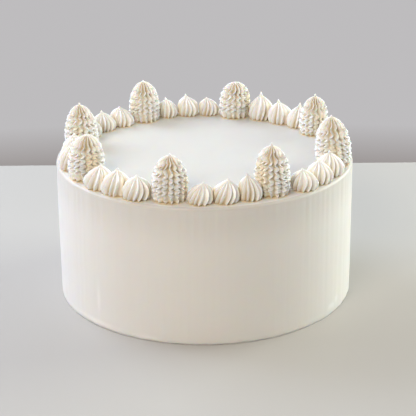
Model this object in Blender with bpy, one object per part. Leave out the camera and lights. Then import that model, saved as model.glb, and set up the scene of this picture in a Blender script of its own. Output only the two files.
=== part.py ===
"""A round layer cake in a smooth buttercream coat, with a crown of piped pieces on its top.

Metres, +Z up. The origin is the middle of the cake's underside, and -Y is its front.
The crown is a ring of eight tall ruffled pieces, with three small ribbed dollops in each of
the eight gaps between them. Angles are counted anticlockwise from +X, seen from above.
Where two neighbours would overlap, both are pressed against the upright plane between them.
"""

import math
import random
from collections import namedtuple

import bmesh
import bpy
from mathutils import Vector

MM = 0.001

# The cake's body.
CAKE_RADIUS = 137.5 * MM
CAKE_HEIGHT = 128.7 * MM
RIM_ROUND = 1.6 * MM
RIM_STEPS = 3
CAKE_SIDES = 72

# Touching pieces keep this gap, also to the cake's top.
GAP = 0.3 * MM

# How softly a piece yields at the plane that it is pressed against.
PRESS_DEPTH = 1.2 * MM

# The piping: a star tip with this many teeth made each kind of piece.
DOLLOP_RIBS = 13
RUFFLE_RIBS = 15

# A piece is widest at this share of its height, and its foot and tip are shares of its radius.
Form = namedtuple("Form", "ribs groove widest foot tip")
DOLLOP_FORM = Form(ribs=DOLLOP_RIBS, groove=0.18, widest=0.26, foot=0.85, tip=0.12)
RUFFLE_FORM = Form(ribs=RUFFLE_RIBS, groove=0.15, widest=0.25, foot=0.86, tip=0.09)

# Shares of the height that a dollop's rings are at, below the one where its dome ends.
DOLLOP_LEVELS = (0.0, 0.13, 0.36, 0.64)
DOLLOP_FULLNESS = 2.0
# Its ribs turn by about this much from the foot to the tip, most of it low down.
DOLLOP_TWIST = math.radians(22)

# Where the dome ends, as a share of the height, and its rounding, for a blunt and a pointed one.
BLUNT_DOME = 0.92
POINTED_DOME = 0.86
BLUNT_ROUNDING = 0.74
POINTED_ROUNDING = 0.92

# A ruffle has a plain foot, then folds, then a dome whose rings are at shares of the way up.
RUFFLE_ROUNDING = 0.56
FOOT_LEVELS = (0.0, 0.08)
RUFFLE_FOLDS = 4
FOLDS_START = 0.15
FOLDS_END = 0.66
DOME_STEPS = (0.42, 0.78, 1.0)
FOLD_BULGE = 0.035
# Each fold carries the ribs to and fro by up to this share of their spacing.
FOLD_SWING = 0.42

# The crown, from the front left anticlockwise. Angles in degrees, lengths in millimetres.
# The dome ends and the thin tip begins at the share dome of the height. A fuller dome is
# blunter, and one of fullness 2 is nearly a cone with bulging sides. The tip stands aside
# from the middle of the foot by tip, along +X.
Ruffle = namedtuple("Ruffle", "angle ring width height dome fullness tip")
RUFFLES = (
    Ruffle(angle=-151.0, ring=120.3, width=34.8, height=41.0, dome=0.97, fullness=2.7, tip=1.3),
    Ruffle(angle=-105.0, ring=117.0, width=34.0, height=41.5, dome=0.95, fullness=2.6, tip=0.5),
    Ruffle(angle=-59.8, ring=116.5, width=33.6, height=46.5, dome=0.93, fullness=2.6, tip=-1.2),
    Ruffle(angle=-12.0, ring=120.3, width=35.2, height=46.0, dome=0.95, fullness=2.2, tip=-2.8),
    Ruffle(angle=30.2, ring=122.5, width=29.8, height=39.5, dome=0.92, fullness=2.6, tip=1.0),
    Ruffle(angle=75.6, ring=122.0, width=32.6, height=35.5, dome=0.98, fullness=3.3, tip=1.6),
    Ruffle(angle=118.7, ring=123.0, width=32.0, height=40.5, dome=0.97, fullness=2.4, tip=-0.8),
    Ruffle(angle=164.2, ring=121.0, width=33.6, height=41.5, dome=0.94, fullness=2.2, tip=-1.2),
)

# The three dollops after each tall piece. Where peak is 0 a dollop is blunt, and at 1 pointed.
# One that slides stands that much further round than its share of the gap.
Dollop = namedtuple("Dollop", "ring width height peak tip slide", defaults=(0.0,))
GAPS = (
    (
        Dollop(ring=124.8, width=27.2, height=21.4, peak=0.4, tip=2.7, slide=-1.2),
        Dollop(ring=124.4, width=27.2, height=23.2, peak=0.5, tip=2.0, slide=-0.6),
        Dollop(ring=123.9, width=27.6, height=21.0, peak=0.1, tip=0.5),
    ),
    (
        Dollop(ring=121.8, width=24.6, height=18.7, peak=0.2, tip=2.7),
        Dollop(ring=120.6, width=25.6, height=20.3, peak=0.4, tip=2.5, slide=0.8),
        Dollop(ring=120.3, width=22.6, height=23.8, peak=0.8, tip=-3.2, slide=3.0),
    ),
    (
        Dollop(ring=125.2, width=26.4, height=19.0, peak=0.3, tip=-1.6),
        Dollop(ring=125.2, width=25.2, height=20.8, peak=0.5, tip=-1.1),
        Dollop(ring=125.2, width=25.6, height=22.6, peak=0.7, tip=-1.7),
    ),
    (
        Dollop(ring=123.5, width=21.0, height=20.0, peak=0.4, tip=0.6),
        Dollop(ring=123.5, width=21.4, height=21.0, peak=0.6, tip=-1.2),
        Dollop(ring=123.5, width=21.0, height=19.5, peak=0.3, tip=1.0),
    ),
    (
        Dollop(ring=123.8, width=23.4, height=23.6, peak=0.8, tip=2.0),
        Dollop(ring=122.0, width=25.6, height=23.5, peak=0.7, tip=-1.8),
        Dollop(ring=123.0, width=26.0, height=27.1, peak=1.0, tip=0.2),
    ),
    (
        Dollop(ring=124.5, width=22.0, height=17.5, peak=0.0, tip=-2.2),
        Dollop(ring=124.5, width=23.1, height=21.1, peak=0.6, tip=-2.7),
        Dollop(ring=124.4, width=21.2, height=19.5, peak=0.8, tip=-2.9),
    ),
    (
        Dollop(ring=122.5, width=24.9, height=18.8, peak=0.1, tip=-2.5),
        Dollop(ring=124.5, width=24.2, height=19.5, peak=0.9, tip=-2.4),
        Dollop(ring=124.1, width=21.6, height=17.5, peak=0.4, tip=0.5),
    ),
    (
        Dollop(ring=122.0, width=22.8, height=20.0, peak=0.4, tip=0.6),
        Dollop(ring=122.5, width=23.2, height=22.0, peak=0.4, tip=-0.8),
        Dollop(ring=125.8, width=24.0, height=25.5, peak=0.5, tip=2.4),
    ),
)

# A tip also stands forward or back by up to this much.
TIP_DRIFT = 1.2 * MM
SHARP_ANGLE = math.radians(50)
SEED = 11

COAT_COLOUR = (0.90, 0.88, 0.83, 1.0)
PIPING_COLOUR = (0.90, 0.86, 0.77, 1.0)
FROSTING_ROUGHNESS = 0.5


class Piece:
    """Where one piped piece stands, its form, and its greatest radius and height in metres."""

    def __init__(self, name, form, angle, size):
        turn = math.radians(angle)
        self.name = name
        self.form = form
        self.angle = angle
        self.centre = Vector((math.cos(turn), math.sin(turn))) * size.ring * MM
        self.radius = size.width / 2 * MM
        self.height = size.height * MM
        self.tip = size.tip * MM
        self.planes = []
        self.dome = getattr(size, "dome", None)
        self.fullness = getattr(size, "fullness", DOLLOP_FULLNESS)
        self.rounding = RUFFLE_ROUNDING

    def radius_at(self, level):
        """The radius at a level from 0, the foot, to the end of the dome."""
        form = self.form
        if level < form.widest:
            return self.radius * (1 - (1 - form.foot) * (1 - level / form.widest) ** 2)
        up = min((level - form.widest) / (self.dome - form.widest), 1)
        return self.radius * max((1 - up**self.fullness) ** self.rounding, form.tip)

    def press_against(self, other):
        """Adds the plane between this piece and its neighbour, shared out by their radii."""
        apart = other.centre - self.centre
        share = self.radius / (self.radius + other.radius)
        room = apart.length * share - GAP / 2
        self.planes.append((apart.normalized(), room))

    def pressed(self, offset):
        """The offset from the centre, held back where it would pass a neighbour's plane."""
        for normal, room in self.planes:
            reach = offset.dot(normal)
            start = room - PRESS_DEPTH
            if reach > start:
                eased = room - PRESS_DEPTH * math.exp((start - reach) / PRESS_DEPTH)
                offset = offset + normal * (eased - reach)
        return offset


def clear_scene():
    for obj in list(bpy.data.objects):
        bpy.data.objects.remove(obj)


def buttercream(name, colour):
    material = bpy.data.materials.new(name)
    material.use_nodes = True
    shader = material.node_tree.nodes["Principled BSDF"]
    shader.inputs["Base Color"].default_value = colour
    shader.inputs["Roughness"].default_value = FROSTING_ROUGHNESS
    shader.inputs["Metallic"].default_value = 0.0
    return material


def add_object(name, mesh_maker, colour):
    """Makes an object from the bmesh that mesh_maker fills, shaded smooth."""
    mesh = bpy.data.meshes.new(name)
    work = bmesh.new()
    mesh_maker(work)
    bmesh.ops.recalc_face_normals(work, faces=work.faces)
    work.to_mesh(mesh)
    work.free()
    mesh.shade_smooth()
    mesh.set_sharp_from_angle(angle=SHARP_ANGLE)
    mesh.materials.append(buttercream(name, colour))
    obj = bpy.data.objects.new(name, mesh)
    bpy.context.scene.collection.objects.link(obj)
    return obj


def fill_cake(work):
    """A disc of the cake's height whose top edge is rounded."""
    bmesh.ops.create_cone(
        work,
        cap_ends=True,
        segments=CAKE_SIDES,
        radius1=CAKE_RADIUS,
        radius2=CAKE_RADIUS,
        depth=CAKE_HEIGHT,
    )
    bmesh.ops.translate(work, verts=work.verts, vec=(0, 0, CAKE_HEIGHT / 2))
    level = CAKE_HEIGHT - GAP
    rim = [edge for edge in work.edges if all(vert.co.z > level for vert in edge.verts)]
    bmesh.ops.bevel(
        work,
        geom=rim,
        offset=RIM_ROUND,
        segments=RIM_STEPS,
        profile=0.5,
        affect="EDGES",
    )


def fill_rings(work, rings, tip):
    """Skins a stack of rings, each a list of points, and closes it with a foot and a tip."""
    loops = [[work.verts.new(point) for point in ring] for ring in rings]
    count = len(loops[0])
    for lower, upper in zip(loops, loops[1:]):
        for i in range(count):
            j = (i + 1) % count
            work.faces.new((lower[i], lower[j], upper[j], upper[i]))
    top = work.verts.new(tip)
    for i in range(count):
        work.faces.new((loops[-1][i], loops[-1][(i + 1) % count], top))
    work.faces.new(reversed(loops[0]))


def piped_ring(piece, level, radius, turn, lean):
    """One ring of a piped piece: a ridge and a groove for each rib, at a level of its height."""
    points = []
    form = piece.form
    height = CAKE_HEIGHT + GAP + level * piece.height
    for i in range(2 * form.ribs):
        angle = turn + math.pi * i / form.ribs
        reach = radius if i % 2 == 0 else radius * (1 - form.groove)
        offset = Vector((math.cos(angle), math.sin(angle))) * reach + lean * level**2
        place = piece.centre + piece.pressed(offset)
        points.append((place.x, place.y, height))
    return points


def tip_point(piece, lean):
    place = piece.centre + lean
    return (place.x, place.y, CAKE_HEIGHT + GAP + piece.height)


def draw_lean(piece, draw):
    """How far the tip stands aside from the middle of the foot."""
    return Vector((piece.tip, draw.uniform(-1, 1) * TIP_DRIFT))


def fill_dollop(work, piece, draw):
    """A ribbed dome whose ribs turn a little on their way up."""
    turn = draw.uniform(0, math.tau)
    twist = DOLLOP_TWIST * draw.uniform(0.6, 1.3)
    lean = draw_lean(piece, draw)
    rings = []
    for level in (*DOLLOP_LEVELS, piece.dome):
        turned = turn + twist * (1 - (1 - level) ** 2)
        rings.append(piped_ring(piece, level, piece.radius_at(level), turned, lean))
    fill_rings(work, rings, tip_point(piece, lean))


def ruffle_rows(piece):
    """(level, swing, bulge) of each ring: the foot, the folds that swing to and fro, the dome."""
    rows = [(level, 0, 0) for level in FOOT_LEVELS]
    last = 2 * RUFFLE_FOLDS
    for i in range(last + 1):
        level = FOLDS_START + (FOLDS_END - FOLDS_START) * i / last
        side = 1 if i % 2 == 0 else -1
        rows.append((level, side * (1 - 0.5 * i / last), side))
    rows += [(FOLDS_END + (piece.dome - FOLDS_END) * step, 0, 0) for step in DOME_STEPS]
    return rows


def fill_ruffle(work, piece, draw):
    """A tall ribbed piece whose ribs swing from side to side in its folded lower part."""
    turn = draw.uniform(0, math.tau)
    lean = draw_lean(piece, draw)
    swing_by = FOLD_SWING * math.pi / RUFFLE_RIBS
    rings = []
    for level, swing, bulge in ruffle_rows(piece):
        radius = piece.radius_at(level) * (1 - FOLD_BULGE * (1 - bulge))
        rings.append(piped_ring(piece, level, radius, turn + swing * swing_by, lean))
    fill_rings(work, rings, tip_point(piece, lean))


def edge_angle(piece):
    """The angle, in degrees, that a piece takes up on each side of its centre."""
    return math.degrees(piece.radius / piece.centre.length)


def make_dollop(name, angle, size):
    """A dollop whose dome is as pointed as its peak says."""
    dollop = Piece(name, DOLLOP_FORM, angle, size)
    dollop.dome = BLUNT_DOME + (POINTED_DOME - BLUNT_DOME) * size.peak
    dollop.rounding = BLUNT_ROUNDING + (POINTED_ROUNDING - BLUNT_ROUNDING) * size.peak
    return dollop


def place_gap(number, tall, follower):
    """The dollops between two tall pieces, each with room in proportion to its width."""
    sizes = GAPS[number - 1]
    start = tall.angle + edge_angle(tall)
    span = (follower.angle - edge_angle(follower) - start) % 360
    total = sum(size.width for size in sizes)
    passed = 0
    placed = []
    for order, size in enumerate(sizes, 1):
        middle = start + span * (passed + size.width / 2) / total
        middle += math.degrees(size.slide / size.ring)
        passed += size.width
        placed.append(make_dollop(f"dollop_{number}_{order}", middle, size))
    return placed


def place_crown():
    """Every piped piece in order round the ring, each pressed against both its neighbours."""
    talls = [
        Piece(f"ruffle_{number}", RUFFLE_FORM, size.angle, size)
        for number, size in enumerate(RUFFLES, 1)
    ]
    crown = []
    for number, tall in enumerate(talls, 1):
        crown.append(tall)
        crown += place_gap(number, tall, talls[number % len(talls)])
    for piece, follower in zip(crown, crown[1:] + crown[:1]):
        piece.press_against(follower)
        follower.press_against(piece)
    return crown


def main():
    clear_scene()
    add_object("cake_body", fill_cake, COAT_COLOUR)
    fillers = {DOLLOP_FORM: fill_dollop, RUFFLE_FORM: fill_ruffle}
    draw = random.Random(SEED)
    for piece in place_crown():
        fill = fillers[piece.form]
        add_object(piece.name, lambda work: fill(work, piece, draw), PIPING_COLOUR)


main()
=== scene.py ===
"""The looks of a round buttercream cake with a piped crown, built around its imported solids.

Metres, +Z up, -Y towards the photograph's camera. Each solid is replaced by a finer piece that
keeps its place, height, width and ribs: the body by a scraped coat, a small dollop by a ribbed
dome, and a tall ruffle by a ribbed column whose ribs swing to and fro in stacked folds.
"""

import math
from collections import namedtuple

import bpy
import numpy as np
from mathutils import Matrix, Vector


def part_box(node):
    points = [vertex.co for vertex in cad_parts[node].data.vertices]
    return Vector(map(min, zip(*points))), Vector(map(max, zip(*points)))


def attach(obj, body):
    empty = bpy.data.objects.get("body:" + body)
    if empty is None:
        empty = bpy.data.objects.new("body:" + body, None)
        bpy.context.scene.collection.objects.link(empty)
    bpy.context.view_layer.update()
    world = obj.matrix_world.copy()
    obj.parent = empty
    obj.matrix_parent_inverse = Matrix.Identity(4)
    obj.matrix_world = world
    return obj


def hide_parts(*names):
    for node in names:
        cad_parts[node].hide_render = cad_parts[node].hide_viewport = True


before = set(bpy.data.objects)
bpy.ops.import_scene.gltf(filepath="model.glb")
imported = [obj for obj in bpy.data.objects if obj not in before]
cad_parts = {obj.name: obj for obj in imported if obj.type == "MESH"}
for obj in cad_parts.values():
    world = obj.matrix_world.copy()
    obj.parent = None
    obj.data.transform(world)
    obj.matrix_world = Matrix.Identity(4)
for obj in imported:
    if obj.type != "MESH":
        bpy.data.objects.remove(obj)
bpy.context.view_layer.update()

MM = 0.001
TURN = 2 * math.pi

# The photograph's frame and the camera that was fitted to it.
PHOTO_PIXELS = 416
FOCAL_PIXELS = 1490.8
SENSOR_MM = 36.0
CLIP_END = 50
EYE = (0.0, -1.3100, 0.5904)
YAW = 0.0022
PITCH = 0.3746
ROLL = -0.0076

# Forms that the solids share with these pieces, as in the part's own source. A piece is widest
# at a share of its height, and its foot and its tip are shares of its radius.
Form = namedtuple("Form", "ribs widest foot tip")
DOLLOP = Form(ribs=13, widest=0.26, foot=0.85, tip=0.12)
RUFFLE = Form(ribs=15, widest=0.25, foot=0.86, tip=0.09)

# The power by which a tip thins from the end of the dome, a margin on the height that it thins
# over, and the power by which it blends into the dome.
TIP_TAPER = 0.8
TIP_MARGIN = 1e-4
TIP_BLEND = 3

# How a solid's points are told apart: those of its foot, those of one ring, and the share of
# them, in percent, that its radius takes in. Its rings' heights are rounded to these digits.
FOOT_BAND = 0.1 * MM
RING_BAND = 0.02 * MM
RADIUS_PERCENT = 98
HEIGHT_DIGITS = 5

# A dome's exponent stays within these limits, and its ring within this share of the radius.
FULLNESS_LIMITS = (1.5, 4.0)
MOST_REACH = 0.98

# A piece flattens over this depth towards a neighbour, and goes this far past its solid at most.
PRESS_DEPTH = 1.2 * MM
PRESS_SLACK = 0.1 * MM

# Painted warm shade where two pieces nearly touch: this deep from the place where they meet, and only
# where the gap is less than this.
NEAR_DEPTH = 3.2 * MM
NEAR_GAP = 4.0 * MM

# Where a dollop's dome ends, as a share of the height, and its rounding, blunt and pointed.
BLUNT_DOME = 0.92
POINTED_DOME = 0.86
BLUNT_ROUNDING = 0.74
POINTED_ROUNDING = 0.92
DOLLOP_FULLNESS = 2.0
RUFFLE_ROUNDING = 0.56

# A rib stands this share of the radius above its grooves, and its fin has this half width,
# as a share of the spacing of the ribs. A greater cusp makes its flanks more hollow.
DOLLOP_DEPTH = 0.27
RUFFLE_DEPTH = 0.28
CUSP = 1.55
FIN_WIDTH = 0.086
FIN_SHARPNESS = 1.35

# The fin's share of a ruffle's rib, and what it gains in the folds. It fades out at the groove,
# the more abruptly the greater this power.
FIN_SHARE = 0.60
FOLDED_FIN_SHARE = 0.04
FIN_END_POWER = 10

# The ribs of a ruffle's dome are deeper by this share, from one level to another.
DOME_DEPTH = 0.52
DOME_DEEPENS = (0.50, 0.80)

# Ribs fade out from this far below the end of the dome to the tip.
TIP_FADE = 0.03

# How uneven the ribs are in strength, and how far aside a dollop's ribs stand at most, as a
# share of their spacing.
DOLLOP_UNEVEN = 0.20
RUFFLE_UNEVEN = 0.15
DOLLOP_ASIDE = 0.14

# How much a piece swells here and there, how rough its skin is, how far it twists, in radians,
# and how far a dollop's ribs rise and fall.
DOLLOP_SWELL = 0.018
RUFFLE_SWELL = 0.014
SKIN = 0.004
TWIST = 0.02
DOLLOP_RISE = 0.25 * MM

# Each ruffle's folds, as shares of its height: they start above a plain foot, are tight up to
# a level, and then grow loose and fade out.
Folds = namedtuple("Folds", "start tight end")
FOLDS = {
    "ruffle_1": Folds(start=0.21, tight=0.50, end=0.76),
    "ruffle_2": Folds(start=0.17, tight=0.70, end=0.90),
    "ruffle_3": Folds(start=0.09, tight=0.60, end=0.88),
    "ruffle_4": Folds(start=0.12, tight=0.64, end=0.82),
    "ruffle_5": Folds(start=0.08, tight=0.53, end=0.82),
    "ruffle_6": Folds(start=0.21, tight=0.46, end=0.92),
    "ruffle_7": Folds(start=0.21, tight=0.42, end=0.76),
    "ruffle_8": Folds(start=0.15, tight=0.53, end=0.78),
}

# The pitch of tight and loose folds, how far each carries its rib aside as a share of the
# spacing of the ribs, and how far the fins droop. Some swing is there in the foot as well.
TIGHT_PITCH = 4.6 * MM
LOOSE_PITCH = 8.0 * MM
TIGHT_SWING = 0.42
LOOSE_SWING = 0.29
FOOT_SWING = 0.25
DROOP = 0.8 * MM

# Where each change in the folds begins and ends, as margins off the levels above.
SWING_BEGINS = (-0.03, 0.04)
SWING_LOOSENS = (-0.20, 0.0)
SWING_FADES = (-0.10, 0.14)
PITCH_LOOSENS = (-0.22, 0.10)
DROOP_BEGINS = (-0.02, 0.04)
DROOP_ENDS = (-0.14, 0.16)

# How uneven the folds are: in pitch, in swing, and in how far ribs run ahead, in radians.
PITCH_UNEVEN = 0.08
LEAST_GAIN = 0.75
MOST_GAIN = 1.15
GAIN_RIPPLE = 0.22
LAG = 0.8

# The groove between two ribs follows this share of their mean swing. No crest goes further
# aside from the middle of its rib than the other share, of the spacing.
GROOVE_SHARE = 0.5
MOST_ASIDE = 0.45

# A crease runs round a ruffle where its folds start. It reaches this share of the height to
# either side, and goes this share of the radius deep.
CREASE_HEIGHT = 0.014
CREASE_DEPTH = 0.03

# How strong the painted shade in the grooves is, as shares of the full tone: on a dollop, where the
# foot is darkest, and on a ruffle, with more in the folds and in the dome.
DOLLOP_SHADE = 0.76
DOLLOP_SHADE_TOP = 0.75
RUFFLE_SHADE = 0.85
FOLD_SHADE = 0.11
DOME_SHADE = 0.19
DOME_DARKENS = (0.50, 0.75)

# Every piece has painted shade close to its foot, up to a share of its height.
DOLLOP_FOOT = 0.12
RUFFLE_FOOT = 0.08
FOOT_SHADE = 0.3
FOOT_GROOVE_SHADE = 0.9

# The finer mesh: columns for each rib, and rows up each stretch of a piece. Columns crowd
# towards a rib's crest and rows towards a foot or a tip, by these powers. A point looks for
# the nearest part of its rib's crest this many rows up and down.
DOLLOP_COLUMNS = 12
DOLLOP_ROWS = 36
RUFFLE_COLUMNS = 16
FOOT_ROWS = 16
FOLD_ROWS = 100
DOME_ROWS = 34
LAST_ROW = 0.995
COLUMN_POWER = 1.3
DOLLOP_ROW_POWER = 1.15
EVEN_ROWS = 0.3
DOME_ROW_POWER = 1.3
CREST_ROWS = 13

# The body's coat. Its top has fine rows under the crown and a few inside it. The even rows of its
# side end a little below the rounded rim, and the painted shade of the top begins at the bend.
BODY_COLUMNS = 480
BODY_ROWS = 66
RIM_ROWS = 8
CROWN_ROWS = 26
CROWN_WIDTH = 34 * MM
INNER_ROWS = 8
RIM_ROUND = 2.8 * MM
SIDE_END = 1.2 * RIM_ROUND
BEND = 0.9 * RIM_ROUND
TOP_BAND = 0.1 * MM

# The coat's side lies up to this far inside its solid, unevenly, and less so close to the rim.
# Its foot is rough, and its top dips a little towards the rim.
COAT_WAVE = 0.30 * MM
COAT_UNEVEN = 0.28
COAT_LIMIT = 1.7
WAVE_ENDS = (0.985, 0.95)
FOOT_ROUGH = 0.5 * MM
FOOT_ROUGH_TOP = 0.02
TOP_DIP = 0.12 * MM
DIP_UNEVEN = 0.25
DIP_RANGE = (0.60, 0.97)

# Upright scraper marks, deepest just under the rim, and how far down they fade. Lower down a
# share of their depth is left.
SCRAPE_DEPTH = 0.19 * MM
SCRAPE_REACH = 42 * MM
SCRAPE_FULL = 8.4 * MM
SCRAPE_LEFT = 0.4
SCRAPE_UNEVEN = 0.55
SCRAPE_LIMIT = 1.8

# A smear is palest where it stands out this far.
SMEAR_TONE = 0.30 * MM

# Faint smears of buttercream near the foot: the angle round the cake in degrees, and the height,
# width, height of the mark and lift, all in mm.
Smear = namedtuple("Smear", "turn high wide tall lift")
SMEARS = (
    Smear(turn=-34, high=8, wide=5, tall=2.2, lift=0.45),
    Smear(turn=-30, high=12, wide=2.5, tall=3, lift=0.35),
    Smear(turn=-134, high=28, wide=1.6, tall=12, lift=0.32),
    Smear(turn=-135, high=4.5, wide=20, tall=1.4, lift=0.42),
    Smear(turn=-112, high=3.5, wide=9, tall=2, lift=0.20),
    Smear(turn=38, high=6, wide=14, tall=2.5, lift=0.24),
    Smear(turn=118, high=20, wide=2.5, tall=10, lift=0.22),
)

# How far the painted warm shade goes that the coat has along each piped foot.
CONTACT_WIDTH = 1.2 * MM

# The painted highlight on the edge of the top begins and is full at these shares of the radius.
EDGE_RANGE = (0.88, 0.95)

# Tones of the piping: two for its crests, and one each of painted shade for its flanks, its grooves
# and the places where two pieces nearly touch. A flank and a groove begin and are full at their
# ranges.
CREST_TONES = ((0.952, 0.965, 0.980), (0.962, 0.974, 0.988))
FLANK_SHADE_TONE = (0.854, 0.824, 0.752)
FLANK_RANGE = (0.15, 0.62)
GROOVE_SHADE_TONE = (0.600, 0.474, 0.288)
GROOVE_RANGE = (0.68, 1.0)
NEAR_SHADE_TONE = (0.864, 0.756, 0.556)
PIPING_ROUGHNESS = (0.26, 0.40)

# Tones of the coat: two for its side, and one for each share that the mesh carries: painted shade on
# the top, under the rim, on the rim's rounding and along each piped foot, a painted highlight on the
# edge of the top, and a paler tone on the smears.
SIDE_TONES = ((0.752, 0.732, 0.696), (0.770, 0.752, 0.718))
SHARE_TONES = {
    "top": (0.722, 0.712, 0.679),
    "under_rim_shade": (0.700, 0.678, 0.640),
    "rim": (0.640, 0.620, 0.582),
    "edge_highlight": (0.820, 0.805, 0.775),
    "smear": (0.840, 0.826, 0.795),
    "contact_shade": (0.800, 0.670, 0.470),
}
COAT_ROUGHNESS = (0.38, 0.52)
STREAKS_AROUND = 12.0
STREAKS_UP = 3.0

# The stretch of its noise that the roughness of a material follows, and the low stretch where
# the coat has its tiny air holes.
ROUGHNESS_NOISE = (0.3, 0.7)
PIT_NOISE = (0.24, 0.34)

# The plain floor and the soft surroundings, which are darker below the horizon.
FLOOR_TONE = (0.50, 0.485, 0.460)
FLOOR_ROUGHNESS = 0.5
FLOOR_BACK = 0.332
FLOOR_REACH = 1.6
FRONT_TONE = (0.36, 0.35, 0.34)
REAR_TONE = (0.515, 0.505, 0.515)
LOW_TONE = (0.30, 0.27, 0.26)
FRONT_RANGE = (-0.5, 0.5)
LOW_RANGE = (-0.343, -0.312)

# Soft lamps, all aimed at the middle of the cake: place and size in metres, power in watts.
Lamp = namedtuple("Lamp", "name place size watts colour")
LAMPS = (
    Lamp("low_left", (-1.6, 0.40, 0.60), (1.2, 0.9), 12.0, (0.78, 0.83, 1.0)),
    Lamp("high_left", (-1.2, 0.90, 1.20), (1.2, 0.9), 22.0, (0.68, 0.80, 0.98)),
    Lamp("back_right", (1.5, 0.65, 0.55), (1.2, 0.9), 31.0, (0.94, 1.0, 0.92)),
    Lamp("front_left", (-0.75, -1.75, 1.45), (1.0, 0.8), 25.0, (1.0, 0.895, 0.765)),
)
LAMP_AIM = Vector((0, 0, 0.09))

BODY_SEED = 7
CROWN_SEED = 100


def smooth(low, high, value):
    """0 at low and on its far side, 1 at high and on its far side, an even S between them."""
    t = np.clip((value - low) / (high - low), 0, 1)
    return t * t * (3 - 2 * t)


def change(level, low, high, margins):
    """A smooth change from a margin off one level to a margin off another."""
    return smooth(low + margins[0], high + margins[1], level)


def ripple(around, up, draw, most_around, most_up, waves=14):
    """Gentle seamless noise of about unit strength, from random waves round and up a piece."""
    total = np.zeros(np.broadcast(around, up).shape)
    for _ in range(waves):
        turns = int(draw.integers(1, most_around + 1))
        rise = draw.uniform(-most_up, most_up)
        total += np.sin(TURN * (turns * around + rise * up + draw.uniform()))
    return total / math.sqrt(waves / 2)


def per_rib(values, ribs_along):
    """One value for each rib, carried smoothly over the groove to the next rib."""
    low = np.floor(ribs_along).astype(int) % len(values)
    part = smooth(0, 1, ribs_along - np.floor(ribs_along))
    return values[low] * (1 - part) + values[(low + 1) % len(values)] * part


def rib_strengths(draw, ribs, uneven, along):
    return per_rib(draw.uniform(1 - uneven, 1 + uneven, ribs), along)


class Solid:
    """What a packed piped solid says of itself: its place, height, radius, dome, ribs and room."""

    def __init__(self, node, form):
        points = np.array([vert.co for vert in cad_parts[node].data.vertices])
        levels = np.unique(np.round(points[:, 2], HEIGHT_DIGITS))
        self.node = node
        self.form = form
        self.points = points
        self.base = levels[0]
        self.height = levels[-1] - levels[0]
        foot = points[points[:, 2] < self.base + FOOT_BAND]
        self.centre = foot[:, :2].mean(axis=0)
        self.lean = points[points[:, 2].argmax(), :2] - self.centre
        reaches = np.hypot(*(points[:, :2] - self.centre).T)
        self.radius = np.percentile(reaches, RADIUS_PERCENT)
        self.dome = (levels[-2] - self.base) / self.height
        if form is DOLLOP:
            domes, roundings = (POINTED_DOME, BLUNT_DOME), (POINTED_ROUNDING, BLUNT_ROUNDING)
            self.rounding = np.interp(self.dome, domes, roundings)
            self.fullness = DOLLOP_FULLNESS
        else:
            self.rounding = RUFFLE_ROUNDING
            self.fullness = self.fit_fullness(levels[-3])
        self.ring_levels = (levels[:-1] - self.base) / self.height
        self.ring_turns = self.fit_turns(levels[:-1])

    def ring(self, height):
        """A ring's level, and its points' offsets from the leaning middle of the solid."""
        level = (height - self.base) / self.height
        points = self.points[np.abs(self.points[:, 2] - height) < RING_BAND, :2]
        return level, points - self.centre - self.lean * level**2

    def fit_fullness(self, height):
        """The dome's exponent, from the widest point of the ring below the dome's end."""
        level, offset = self.ring(height)
        reach = np.hypot(*offset.T).max()
        share = min(reach / self.radius, MOST_REACH) ** (1 / self.rounding)
        up = (level - self.form.widest) / (self.dome - self.form.widest)
        return float(np.clip(math.log(1 - share) / math.log(up), *FULLNESS_LIMITS))

    def fit_turns(self, heights):
        """The angle of a ridge at each ring, followed from the foot up."""
        phases = []
        for height in heights:
            _, offset = self.ring(height)
            angle = np.arctan2(offset[:, 1], offset[:, 0])
            reach = np.hypot(*offset.T)
            wave = ((reach - reach.mean()) * np.exp(1j * self.form.ribs * angle)).sum()
            phases.append(float(np.angle(wave)))
        return np.unwrap(phases) / self.form.ribs

    def turn_at(self, level):
        """How far the ribs have turned at a level, between the solid's own rings."""
        return np.interp(level, self.ring_levels, self.ring_turns)

    def ribbed(self, level):
        """1 where the ribs stand out in full, and less towards the tip."""
        return 1 - smooth(self.dome - TIP_FADE, 1, level)

    def room(self, normal):
        """How far the solid reaches from its centre in a direction."""
        return float(((self.points[:, :2] - self.centre) @ normal).max())


def press(solid, offset, neighbours):
    """Holds offsets back at the solid's own reach to a neighbour, and says how near they come, for
    the painted shade where pieces nearly touch.
    """
    near_shade = np.zeros(offset.shape[:2])
    for other in neighbours:
        apart = other.centre - solid.centre
        normal = apart / np.linalg.norm(apart)
        room = solid.room(normal) + PRESS_SLACK
        gap = np.linalg.norm(apart) - room - other.room(-normal)
        reach = offset @ normal
        beside = smooth(room - NEAR_DEPTH, room, reach) * smooth(NEAR_GAP, 0, gap)
        near_shade = np.maximum(near_shade, beside)
        over = np.maximum(reach - (room - PRESS_DEPTH), 0)
        eased = PRESS_DEPTH * (1 - np.exp(-over / PRESS_DEPTH))
        offset = offset + (eased - over)[..., None] * normal
    return offset, near_shade


def profile(solid, level):
    """Radius at each level from 0, the foot, to 1, the tip: a bulging side, a dome, a thin tip."""
    form = solid.form
    below = 1 - (1 - form.foot) * (1 - np.minimum(level / form.widest, 1)) ** 2
    up = np.clip((level - form.widest) / (solid.dome - form.widest), 0, 1)
    dome = below * (1 - up**solid.fullness) ** solid.rounding
    left = np.clip((1 - level) / (1 - solid.dome + TIP_MARGIN), 0, 1)
    thin = form.tip * left**TIP_TAPER
    return solid.radius * (dome**TIP_BLEND + thin**TIP_BLEND) ** (1 / TIP_BLEND)


def rib_columns(ribs, columns):
    """The rib of each column, and its place across it: 0 on the crest, -1 and 1 in the grooves."""
    even = np.arange(columns) * 2 / columns - 1
    across = np.sign(even) * np.abs(even) ** COLUMN_POWER
    return np.repeat(np.arange(ribs), columns)[None, :], np.tile(across, ribs)[None, :]


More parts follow.
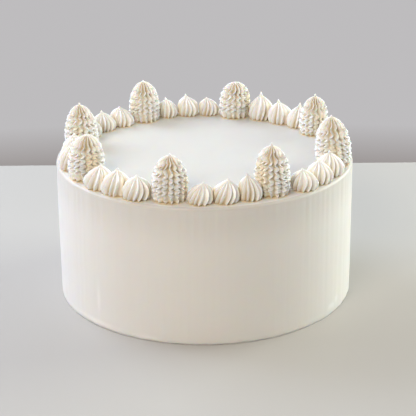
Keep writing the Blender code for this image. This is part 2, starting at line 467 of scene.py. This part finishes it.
def grid_mesh(name, grid, tip, shares):
    """A closed mesh from rows of points: a flat foot, quads between the rows, and a tip.

    Each named share, 0 to 1 at each point, becomes an attribute that the material reads.
    """
    rows, columns = grid.shape[:2]
    points = np.concatenate([grid.reshape(-1, 3), [grid[0].mean(axis=0)], [tip]])
    foot, top = rows * columns, rows * columns + 1
    here = np.arange(columns)
    beside = (here + 1) % columns
    faces = []
    for row in range(rows - 1):
        low, high = row * columns, (row + 1) * columns
        quads = np.stack([low + here, low + beside, high + beside, high + here], axis=1)
        faces += quads.tolist()
    last = (rows - 1) * columns
    faces += [[last + i, last + j, top] for i, j in zip(here, beside)]
    faces += [[j, i, foot] for i, j in zip(here, beside)]
    mesh = bpy.data.meshes.new(name)
    mesh.from_pydata(points.tolist(), [], faces)
    mesh.shade_smooth()
    for key, share in shares.items():
        attribute = mesh.attributes.new(key, "FLOAT", "POINT")
        ends = [share[0].mean(), share[-1].mean()]
        values = np.clip(np.concatenate([share.ravel(), ends]), 0, 1)
        attribute.data.foreach_set("value", values.astype(np.float32))
    obj = bpy.data.objects.new(name, mesh)
    bpy.context.scene.collection.objects.link(obj)
    return obj


def place(solid, level, radius, angle, rise, neighbours):
    """Points of a piece whose ring at each level has these radii and angles, and their nearness."""
    offset = radius[..., None] * np.stack([np.cos(angle), np.sin(angle)], axis=-1)
    offset = offset + solid.lean * (level**2)[..., None]
    offset, near_shade = press(solid, offset, neighbours)
    height = solid.base + solid.height * level + rise
    return np.concatenate([solid.centre + offset, height[..., None]], axis=-1), near_shade


def shade_foot(painted_shade, high, level, reach):
    """Painted shade in the grooves, with painted shade at the foot of a piece added, darkest in its
    grooves.
    """
    shade = FOOT_SHADE + FOOT_GROOVE_SHADE * (1 - high)
    return np.maximum(painted_shade, smooth(reach, 0.0, level) * shade)


def build_dollop(solid, neighbours, draw):
    """A ribbed dome: sharp ribs that turn a little on their way to a thin bent tip."""
    ribs = DOLLOP.ribs
    rib, across = rib_columns(ribs, DOLLOP_COLUMNS)
    along = rib + across / 2
    around = along / ribs
    row = np.linspace(0, 1, DOLLOP_ROWS)[:, None]
    rows = EVEN_ROWS * row + (1 - EVEN_ROWS) * row**DOLLOP_ROW_POWER
    level = np.minimum(rows, LAST_ROW) + 0 * around
    strength = rib_strengths(draw, ribs, DOLLOP_UNEVEN, along)
    aside = per_rib(draw.uniform(-DOLLOP_ASIDE, DOLLOP_ASIDE, ribs), along) * TURN / ribs
    fade = solid.ribbed(level)
    high = (1 - np.abs(across)) ** CUSP
    wave = ripple(around, level, draw, most_around=3, most_up=1.2)
    fine = ripple(around, level, draw, most_around=40, most_up=9, waves=24)
    radius = profile(solid, level) * (1 - DOLLOP_DEPTH * strength * fade * (1 - high))
    radius = radius * (1 + DOLLOP_SWELL * wave) * (1 + SKIN * fine)
    angle = solid.turn_at(level) + TURN * around + aside + TWIST * wave
    rise = DOLLOP_RISE * wave * np.sin(math.pi * level)
    grid, near_shade = place(solid, level, radius, angle, rise, neighbours)
    # Painted shade in the grooves, stronger towards the foot.
    shade = DOLLOP_SHADE + (1 - DOLLOP_SHADE) * smooth(DOLLOP_SHADE_TOP, 0.0, level)
    painted_shade = shade_foot((1 - high) * strength * shade * fade, high, level, DOLLOP_FOOT)
    return grid, {"painted_shade": painted_shade, "near_shade": near_shade}


def fold_levels(solid, folds, draw):
    """The rows of a ruffle, and the phase of its folds at each."""
    foot = np.linspace(0, folds.start, FOOT_ROWS, endpoint=False)
    middle = np.linspace(folds.start, folds.end, FOLD_ROWS, endpoint=False)
    dome = 1 - (1 - np.linspace(0, 1, DOME_ROWS)) ** DOME_ROW_POWER
    levels = np.concatenate([foot, middle, folds.end + (LAST_ROW - folds.end) * dome])
    loose = change(levels, folds.tight, folds.end, PITCH_LOOSENS)
    pitch = TIGHT_PITCH + (LOOSE_PITCH - TIGHT_PITCH) * loose
    pitch = pitch * draw.uniform(1 - PITCH_UNEVEN, 1 + PITCH_UNEVEN)
    steps = np.diff(levels, prepend=0) * solid.height / pitch
    return levels[:, None], TURN * np.cumsum(steps)[:, None]


def crest_swing(level, phase, folds, draw):
    """How far each rib's crest swings aside at each row, as a share of the spacing of the ribs."""
    ribs = RUFFLE.ribs
    rib = np.arange(ribs)[None, :] / ribs
    gain = draw.uniform(LEAST_GAIN, MOST_GAIN, ribs)
    gain = gain * (1 + GAIN_RIPPLE * ripple(rib, level, draw, most_around=7, most_up=7.0))
    lag = draw.uniform(-LAG, LAG, ribs)
    lag = lag + LAG * ripple(rib, level, draw, most_around=4, most_up=3.0)
    begun = change(level, folds.start, folds.start, SWING_BEGINS)
    loose = change(level, folds.tight, folds.end, SWING_LOOSENS)
    faded = change(level, folds.end, folds.end, SWING_FADES)
    swing = TIGHT_SWING + (LOOSE_SWING - TIGHT_SWING) * loose
    swing = swing * (FOOT_SWING + (1 - FOOT_SWING) * begun) * (1 - faded)
    return np.clip(swing * gain * np.sin(phase + lag), -MOST_ASIDE, MOST_ASIDE)


def sway(swing, rib, across):
    """Each column's place in its own rib and among the ribs, and the path of each rib's crest.

    The grooves swing along with the ribs beside them, so a rib winds as a whole.
    """
    after = GROOVE_SHARE * (swing + np.roll(swing, -1, axis=1)) / 2
    before = np.roll(after, 1, axis=1)
    crest = np.clip(swing - (before + after) / 2, -MOST_ASIDE, MOST_ASIDE)
    path = crest + before + (after - before) * (crest + 0.5)
    low, high = before[:, rib[0]], after[:, rib[0]]
    own = across / 2 + crest[:, rib[0]] * (1 - np.abs(across))
    return own, own + low + (high - low) * (own + 0.5), path


def crest_distance(beside, height, path, rib, spacing):
    """How far each point is, in the surface, from its own rib's crest line."""
    rows = np.arange(len(height))
    nearest = np.full(beside.shape, np.inf)
    for step in range(-CREST_ROWS, CREST_ROWS + 1):
        other = np.clip(rows + step, 0, len(rows) - 1)
        aside = (beside - path[other][:, rib[0]]) * spacing
        up = height - height[other]
        nearest = np.minimum(nearest, aside**2 + up**2)
    return np.sqrt(nearest)


def rib_relief(own, away, spacing, folded):
    """A rib's fin, and its height with the flanks: 1 on the crest and 0 in the grooves."""
    groove = np.abs(2 * own)
    fin = np.exp(-((away / (FIN_WIDTH * spacing)) ** FIN_SHARPNESS))
    fin = fin * (1 - groove**FIN_END_POWER)
    share = FIN_SHARE + FOLDED_FIN_SHARE * folded
    return fin, share * fin + (1 - share) * (1 - groove) ** CUSP


def build_ruffle(solid, neighbours, draw):
    """A tall ribbed column: a plain foot, folds that carry the ribs to and fro, and a ribbed dome."""
    ribs = RUFFLE.ribs
    rib, across = rib_columns(ribs, RUFFLE_COLUMNS)
    along = rib + across / 2
    around = along / ribs
    folds = FOLDS[solid.node]
    level, phase = fold_levels(solid, folds, draw)
    swing = crest_swing(level, phase, folds, draw)
    own, beside, path = sway(swing, rib, across)
    outline = profile(solid, level)
    spacing = TURN * outline / ribs
    away = crest_distance(beside, solid.height * level, path, rib, spacing)
    level = level + 0 * around
    strength = rib_strengths(draw, ribs, RUFFLE_UNEVEN, along)
    wave = ripple(around, level, draw, most_around=3, most_up=2.0)
    fine = ripple(around, level, draw, most_around=50, most_up=16, waves=24)
    folded = change(level, folds.start, folds.start, DROOP_BEGINS)
    folded = folded * (1 - change(level, folds.tight, folds.tight, DROOP_ENDS))
    fin, high = rib_relief(own, away, spacing, folded)
    fade = solid.ribbed(level)
    depth = RUFFLE_DEPTH * (1 + DOME_DEPTH * smooth(*DOME_DEEPENS, level))
    crease = np.exp(-(((level - folds.start) / CREASE_HEIGHT) ** 2))
    radius = outline * (1 - depth * strength * fade * (1 - high)) * (1 - CREASE_DEPTH * crease)
    radius = radius * (1 + RUFFLE_SWELL * wave) * (1 + SKIN * fine)
    angle = solid.ring_turns[0] + TURN * (rib + beside) / ribs + TWIST * wave
    grid, near_shade = place(solid, level, radius, angle, -DROOP * folded * fin, neighbours)
    # Painted shade in the grooves, stronger in the folds and in the dome.
    shade = RUFFLE_SHADE + FOLD_SHADE * folded + DOME_SHADE * smooth(*DOME_DARKENS, level)
    painted_shade = shade_foot((1 - high) * shade * fade, high, level, RUFFLE_FOOT)
    return grid, {"painted_shade": painted_shade, "near_shade": near_shade}


def new_material(name):
    material = bpy.data.materials.new(name)
    material.use_nodes = True
    tree = material.node_tree
    return material, tree, tree.nodes["Principled BSDF"]


def add_node(tree, kind, **settings):
    node = tree.nodes.new(kind)
    for key, value in settings.items():
        setattr(node, key, value)
    return node


def place_of(tree):
    return add_node(tree, "ShaderNodeTexCoord").outputs["Object"]


def share_of(tree, name):
    """A share that the mesh carries at each of its points."""
    return add_node(tree, "ShaderNodeAttribute", attribute_name=name).outputs["Fac"]


def noise_node(tree, vector, scale, detail=4.0, roughness=0.55):
    node = add_node(tree, "ShaderNodeTexNoise")
    node.inputs["Scale"].default_value = scale
    node.inputs["Detail"].default_value = detail
    node.inputs["Roughness"].default_value = roughness
    tree.links.new(vector, node.inputs["Vector"])
    return node.outputs["Fac"]


def math_node(tree, operation, first, second):
    node = add_node(tree, "ShaderNodeMath", operation=operation)
    for socket, value in zip(node.inputs, (first, second)):
        if isinstance(value, float):
            socket.default_value = value
        else:
            tree.links.new(value, socket)
    return node.outputs[0]


def mix_colour(tree, factor, first, second):
    node = add_node(tree, "ShaderNodeMix", data_type="RGBA")
    tree.links.new(factor, node.inputs["Factor"])
    for socket, value in ((node.inputs[6], first), (node.inputs[7], second)):
        if isinstance(value, tuple):
            socket.default_value = (*value, 1)
        else:
            tree.links.new(value, socket)
    return node.outputs[2]


def ranged(tree, value, limits, results=(0.0, 1.0)):
    """Brings a value between two limits to between two results."""
    node = add_node(tree, "ShaderNodeMapRange")
    tree.links.new(value, node.inputs["Value"])
    for key, number in zip(("From Min", "From Max", "To Min", "To Max"), (*limits, *results)):
        node.inputs[key].default_value = number
    return node.outputs["Result"]


def add_bumps(tree, shader, *layers):
    """Fine relief, from layers of (height, strength, distance), each on top of the one before."""
    normal = None
    for height, strength, distance in layers:
        node = add_node(tree, "ShaderNodeBump")
        node.inputs["Strength"].default_value = strength
        node.inputs["Distance"].default_value = distance
        tree.links.new(height, node.inputs["Height"])
        if normal is not None:
            tree.links.new(normal, node.inputs["Normal"])
        normal = node.outputs["Normal"]
    tree.links.new(normal, shader.inputs["Normal"])


def set_glow(shader, weight, radius, scale, specular):
    """How much light the buttercream lets through, how far each colour goes, and its shine."""
    shader.inputs["Subsurface Weight"].default_value = weight
    shader.inputs["Subsurface Radius"].default_value = radius
    shader.inputs["Subsurface Scale"].default_value = scale
    shader.inputs["Specular IOR Level"].default_value = specular


def piping_material():
    """Ivory buttercream with painted shade, darker and warmer, on its flanks, in its grooves, at its
    foot and where pieces nearly touch; with a soft gloss and fine pits.
    """
    material, tree, shader = new_material("piped_buttercream")
    where = place_of(tree)
    painted_shade = share_of(tree, "painted_shade")
    tone = mix_colour(tree, noise_node(tree, where, scale=45, detail=3), *CREST_TONES)
    # Painted shade: flanks and grooves darker and warmer than the crests.
    tone = mix_colour(tree, ranged(tree, painted_shade, FLANK_RANGE), tone, FLANK_SHADE_TONE)
    tone = mix_colour(tree, ranged(tree, painted_shade, GROOVE_RANGE), tone, GROOVE_SHADE_TONE)
    # Painted warm shade where two pieces nearly touch.
    tone = mix_colour(tree, share_of(tree, "near_shade"), tone, NEAR_SHADE_TONE)
    tree.links.new(tone, shader.inputs["Base Color"])
    gloss = noise_node(tree, where, scale=260, detail=3)
    roughness = ranged(tree, gloss, ROUGHNESS_NOISE, PIPING_ROUGHNESS)
    tree.links.new(roughness, shader.inputs["Roughness"])
    coarse = noise_node(tree, where, scale=320, detail=3)
    fine = noise_node(tree, where, scale=1500)
    add_bumps(tree, shader, (coarse, 0.5, 0.25 * MM), (fine, 0.45, 0.08 * MM))
    set_glow(shader, weight=0.40, radius=(1.0, 0.64, 0.36), scale=0.9 * MM, specular=0.9)
    return material


def upright_streaks(tree, where):
    """Noise drawn out upright, all round the cake."""
    parts = add_node(tree, "ShaderNodeSeparateXYZ")
    tree.links.new(where, parts.inputs[0])
    turn = math_node(tree, "ARCTAN2", parts.outputs["Y"], parts.outputs["X"])
    drawn = add_node(tree, "ShaderNodeCombineXYZ")
    tree.links.new(math_node(tree, "MULTIPLY", turn, STREAKS_AROUND), drawn.inputs["X"])
    tree.links.new(math_node(tree, "MULTIPLY", parts.outputs["Z"], STREAKS_UP), drawn.inputs["Z"])
    return noise_node(tree, drawn.outputs[0], scale=2.6, roughness=0.6)


def coat_material():
    """Smooth off-white buttercream with faint upright scraper marks and tiny air holes, and painted
    shade and a painted highlight from the shares that the coat carries.
    """
    material, tree, shader = new_material("scraped_buttercream")
    where = place_of(tree)
    tone = mix_colour(tree, noise_node(tree, where, scale=22), *SIDE_TONES)
    for name, other in SHARE_TONES.items():
        tone = mix_colour(tree, share_of(tree, name), tone, other)
    tree.links.new(tone, shader.inputs["Base Color"])
    gloss = noise_node(tree, where, scale=90)
    roughness = ranged(tree, gloss, ROUGHNESS_NOISE, COAT_ROUGHNESS)
    tree.links.new(roughness, shader.inputs["Roughness"])
    streaks = upright_streaks(tree, where)
    fine = noise_node(tree, where, scale=240)
    pits = ranged(tree, noise_node(tree, where, scale=700, detail=3), PIT_NOISE)
    layers = (
        (streaks, 0.35, 0.35 * MM),
        (fine, 0.25, 0.12 * MM),
        (pits, 0.30, 0.15 * MM),
    )
    add_bumps(tree, shader, *layers)
    set_glow(shader, weight=0.45, radius=(1.0, 0.60, 0.32), scale=3.5 * MM, specular=0.45)
    return material


def body_outline():
    """(radius, height) of each row of the body, from its foot over the rim to near its middle."""
    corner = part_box("cake_body")[1]
    radius, height = corner.x, corner.z
    side = [(radius, (height - SIDE_END) * i / BODY_ROWS) for i in range(BODY_ROWS + 1)]
    turns = [math.pi / 2 * i / RIM_ROWS for i in range(RIM_ROWS + 1)]
    rim = [
        (radius - RIM_ROUND * (1 - math.cos(a)), height - RIM_ROUND * (1 - math.sin(a)))
        for a in turns
    ]
    inner = radius - RIM_ROUND
    crown = [(inner - CROWN_WIDTH * i / CROWN_ROWS, height) for i in range(1, CROWN_ROWS + 1)]
    start = inner - CROWN_WIDTH
    middle = [(start * (1 - i / INNER_ROWS), height) for i in range(1, INNER_ROWS)]
    return np.array(side + rim + crown + middle), radius, height


def smear_lift(angle, rise, full):
    """How far the smears near the foot stand out at each point of the side."""
    lift = np.zeros(np.broadcast(angle, rise).shape)
    for smear in SMEARS:
        aside = (angle - math.radians(smear.turn) + math.pi) % TURN - math.pi
        across = aside * full / (smear.wide * MM)
        up = (rise - smear.high * MM) / (smear.tall * MM)
        lift = lift + smear.lift * MM * np.exp(-(across**2) - up**2)
    return lift


def coat_contact(points, on_top, solids):
    """How near each point of the coat's top is to the foot of a piped piece, 0 to 1: the share of
    painted warm shade along each foot.
    """
    contact_shade = np.zeros(points.shape[:2])
    for solid in solids:
        away = np.linalg.norm(points[..., :2] - solid.centre, axis=-1)
        outside = np.maximum(away - solid.form.foot * solid.radius, 0)
        contact_shade = np.maximum(contact_shade, np.exp(-((outside / CONTACT_WIDTH) ** 2)))
    return contact_shade * on_top


def scrape_depth(marks, near_rim, radius, full):
    """How deep the upright scraper marks are: deepest under the rim, and none on the top."""
    scraped = 1 + SCRAPE_UNEVEN * np.clip(marks, -SCRAPE_LIMIT, SCRAPE_LIMIT)
    scraped = SCRAPE_DEPTH * scraped * (SCRAPE_LEFT + (1 - SCRAPE_LEFT) * near_rim)
    return scraped * smooth(full - 2 * RIM_ROUND, full, radius)


def top_drop(wave, flat_top, radius, full):
    """How far the flat top dips: more towards the rim, and none on the rim's rounding."""
    least, most = DIP_RANGE
    dipping = smooth(least * full, most * full, radius) * flat_top * (radius < full - RIM_ROUND)
    return TOP_DIP * (0.5 + DIP_UNEVEN * wave) * dipping


def build_body(draw, solids):
    """The coat: a nearly true cylinder, scraped by hand, with a soft uneven rim and foot."""
    outline, full, height = body_outline()
    around = (np.arange(BODY_COLUMNS) / BODY_COLUMNS)[None, :]
    radius, rise = outline[:, :1], outline[:, 1:]
    up = rise / height
    wave = ripple(around, up, draw, most_around=9, most_up=1.3, waves=18)
    rough = ripple(around, up, draw, most_around=60, most_up=5, waves=30)
    marks = ripple(around, up, draw, most_around=130, most_up=0.35, waves=40)

    swell = COAT_WAVE * (0.5 + COAT_UNEVEN * np.clip(wave, -COAT_LIMIT, COAT_LIMIT))
    inward = swell * smooth(*WAVE_ENDS, up)
    near_rim = smooth(height - SCRAPE_REACH, height - SCRAPE_FULL, rise)
    scraped = scrape_depth(marks, near_rim, radius, full)
    foot = FOOT_ROUGH * smooth(FOOT_ROUGH_TOP, 0.0, up) * (0.5 + 0.5 * np.clip(rough, -1, 1))
    angle = TURN * around
    smears = smear_lift(angle, rise, full) * (radius == full)
    spread = np.minimum(radius - inward - foot - scraped + smears, full)

    flat_top = rise > height - TOP_BAND
    drop = top_drop(wave, flat_top, radius, full)
    points = np.stack([spread * np.cos(angle), spread * np.sin(angle), rise - drop], axis=-1)

    beyond = radius >= full - BEND
    begin, end = EDGE_RANGE
    shares = {
        # Painted shade: the flat top is darker than the side, to hold back the light it takes from
        # above.
        "top": ~beyond,
        # Painted warm shade along the foot of each piped piece.
        "contact_shade": coat_contact(points, flat_top, solids),
        # A painted highlight: a paler strip along the edge of the top.
        "edge_highlight": smooth(begin * full, end * full, radius) * ~beyond,
        # Painted shade on the side just under the rim.
        "under_rim_shade": near_rim * beyond,
        # Painted shade on the rim's rounding, darker still.
        "rim": (rise > height - RIM_ROUND) * beyond,
        "smear": smears / SMEAR_TONE,
    }
    shares = {name: share + 0.0 * around for name, share in shares.items()}
    return grid_mesh("coat", points, (0, 0, height), shares)


def finish_piece(piece, node, material):
    piece.data.materials.append(material)
    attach(piece, "root")
    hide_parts(node)


def read_crown():
    """The piped solids, in their order round the cake."""
    forms = {"ruffle": RUFFLE, "dollop": DOLLOP}
    names = sorted(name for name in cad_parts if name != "cake_body")
    solids = [Solid(name, forms[name.split("_")[0]]) for name in names]
    return sorted(solids, key=lambda solid: math.atan2(solid.centre[1], solid.centre[0]))


def build_crown(solids):
    material = piping_material()
    builders = {RUFFLE: build_ruffle, DOLLOP: build_dollop}
    for number, solid in enumerate(solids):
        neighbours = (solids[number - 1], solids[(number + 1) % len(solids)])
        draw = np.random.default_rng(CROWN_SEED + number)
        grid, shares = builders[solid.form](solid, neighbours, draw)
        grid[0, :, 2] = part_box("cake_body")[1].z
        tip = grid[-1].mean(axis=0)
        tip[2] = solid.base + solid.height
        piece = grid_mesh(f"piped_{solid.node}", grid, tip, shares)
        finish_piece(piece, solid.node, material)


def add_camera():
    """The fitted camera: turned by its yaw, tipped down by its pitch, and rolled."""
    forward = Vector(
        (math.sin(YAW) * math.cos(PITCH), math.cos(YAW) * math.cos(PITCH), -math.sin(PITCH))
    )
    level_side = Vector((math.cos(YAW), -math.sin(YAW), 0))
    level_up = level_side.cross(forward)
    side = math.cos(ROLL) * level_side + math.sin(ROLL) * level_up
    up = math.cos(ROLL) * level_up - math.sin(ROLL) * level_side
    camera = bpy.data.objects.new("camera", bpy.data.cameras.new("camera"))
    camera.data.sensor_width = SENSOR_MM
    camera.data.lens = SENSOR_MM * FOCAL_PIXELS / PHOTO_PIXELS
    camera.data.clip_end = CLIP_END
    turn = Matrix((side, up, -forward)).transposed().to_4x4()
    camera.matrix_world = Matrix.Translation(EYE) @ turn
    bpy.context.scene.collection.objects.link(camera)
    bpy.context.scene.camera = camera


def add_lamp(lamp):
    data = bpy.data.lights.new(lamp.name, "AREA")
    data.shape = "RECTANGLE"
    data.size, data.size_y = lamp.size
    data.energy = lamp.watts
    data.color = lamp.colour
    obj = bpy.data.objects.new(lamp.name, data)
    obj.location = lamp.place
    obj.rotation_euler = (LAMP_AIM - Vector(lamp.place)).to_track_quat("-Z", "Y").to_euler()
    bpy.context.scene.collection.objects.link(obj)


def add_floor():
    """A plain pale floor that ends a little way behind the cake."""
    mesh = bpy.data.meshes.new("floor")
    left, right = -FLOOR_REACH, FLOOR_REACH
    front, back = -FLOOR_REACH, FLOOR_BACK
    corners = [(left, front, 0), (right, front, 0), (right, back, 0), (left, back, 0)]
    mesh.from_pydata(corners, [], [(0, 1, 2, 3)])
    floor = bpy.data.objects.new("floor", mesh)
    material, _, shader = new_material("pale_floor")
    shader.inputs["Base Color"].default_value = (*FLOOR_TONE, 1)
    shader.inputs["Roughness"].default_value = FLOOR_ROUGHNESS
    mesh.materials.append(material)
    bpy.context.scene.collection.objects.link(floor)


def add_world():
    """Plain soft surroundings: grey behind the cake, darker in front, and darkest low down."""
    world = bpy.data.worlds.new("studio")
    world.use_nodes = True
    tree = world.node_tree
    parts = add_node(tree, "ShaderNodeSeparateXYZ")
    where = add_node(tree, "ShaderNodeTexCoord").outputs["Generated"]
    tree.links.new(where, parts.inputs[0])
    front = ranged(tree, parts.outputs["Y"], FRONT_RANGE, (1.0, 0.0))
    low = ranged(tree, parts.outputs["Z"], LOW_RANGE, (1.0, 0.0))
    tone = mix_colour(tree, front, REAR_TONE, FRONT_TONE)
    tone = mix_colour(tree, low, tone, LOW_TONE)
    background = tree.nodes["Background"]
    tree.links.new(tone, background.inputs["Color"])
    background.inputs["Strength"].default_value = 1.0
    bpy.context.scene.world = world
    bpy.context.scene.view_settings.view_transform = "Standard"


def add_stage():
    add_floor()
    add_world()
    for lamp in LAMPS:
        add_lamp(lamp)


add_camera()
crown = read_crown()
coat = build_body(np.random.default_rng(BODY_SEED), crown)
finish_piece(coat, "cake_body", coat_material())
build_crown(crown)
add_stage()
